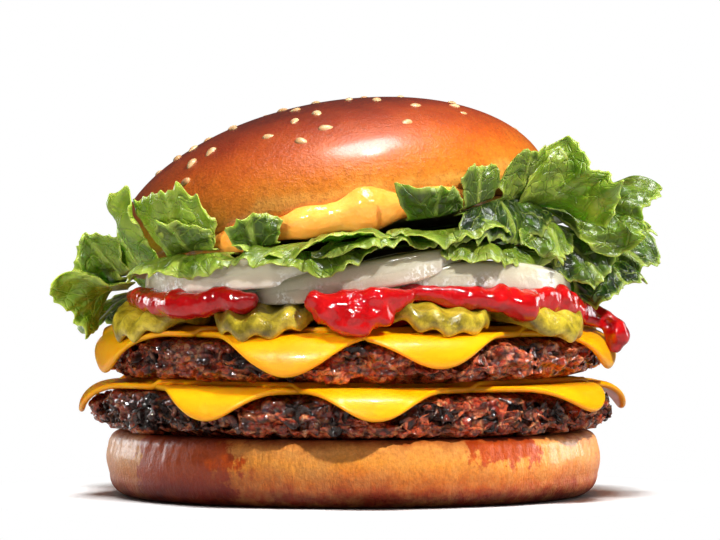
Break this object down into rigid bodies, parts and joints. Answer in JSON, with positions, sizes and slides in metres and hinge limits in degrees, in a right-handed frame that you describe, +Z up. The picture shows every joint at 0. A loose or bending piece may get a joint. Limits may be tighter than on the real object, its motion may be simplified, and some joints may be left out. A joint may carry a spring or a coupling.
{
  "type": "double cheeseburger",
  "caption": "Double cheeseburger in a sesame bun: grilled beef patties under melted cheese, with pickles, ketchup, onion, lettuce and sauce.",
  "frame": {"origin": "middle of the heel's flat underside, on the surface the burger rests on", "axes": "+Z up through the crown, -Y to the shown front, +X to the right seen from the front, the burger's widest way"},
  "size_m": [0.1426, 0.1332, 0.0942],
  "materials": {
    "bun": null,
    "beef": null,
    "cheese": "melted processed cheese",
    "pickle": "wet crinkle-cut gherkin",
    "ketchup": "glossy tomato ketchup",
    "onion": "raw white onion, wet and a little translucent",
    "sauce": "smooth orange burger sauce",
    "lettuce": "crisp curly lettuce leaf"
  },
  "bodies": {
    "root": {"heel": "bun", "patty_lower": "beef", "cheese_lower": "cheese", "patty_upper": "beef", "cheese_upper": "cheese", "pickle_1": "pickle", "pickle_2": "pickle", "pickle_3": "pickle", "pickle_4": "pickle", "pickle_5": "pickle", "pickle_6": "pickle", "pickle_7": "pickle", "onion_1": "onion", "onion_2": "onion", "onion_3": "onion", "onion_4": "onion", "onion_5": "onion", "ketchup": "ketchup", "crown": "bun", "sauce": "sauce", "lettuce_inner_1": "lettuce", "lettuce_inner_2": "lettuce", "lettuce_inner_3": "lettuce", "lettuce_01": "lettuce", "lettuce_02": "lettuce", "lettuce_03": "lettuce", "lettuce_04": "lettuce", "lettuce_05": "lettuce", "lettuce_06": "lettuce", "lettuce_07": "lettuce", "lettuce_08": "lettuce", "lettuce_09": "lettuce", "lettuce_10": "lettuce", "lettuce_11": "lettuce", "lettuce_12": "lettuce", "lettuce_13": "lettuce", "lettuce_14": "lettuce", "lettuce_15": "lettuce", "lettuce_16": "lettuce", "lettuce_17": "lettuce", "lettuce_18": "lettuce", "lettuce_19": "lettuce", "lettuce_20": "lettuce", "lettuce_21": "lettuce", "lettuce_22": "lettuce", "lettuce_23": "lettuce", "lettuce_24": "lettuce", "lettuce_25": "lettuce", "lettuce_26": "lettuce", "lettuce_27": "lettuce", "lettuce_28": "lettuce", "lettuce_29": "lettuce", "lettuce_30": "lettuce", "lettuce_31": "lettuce", "lettuce_32": "lettuce"}
  },
  "joints": []
}
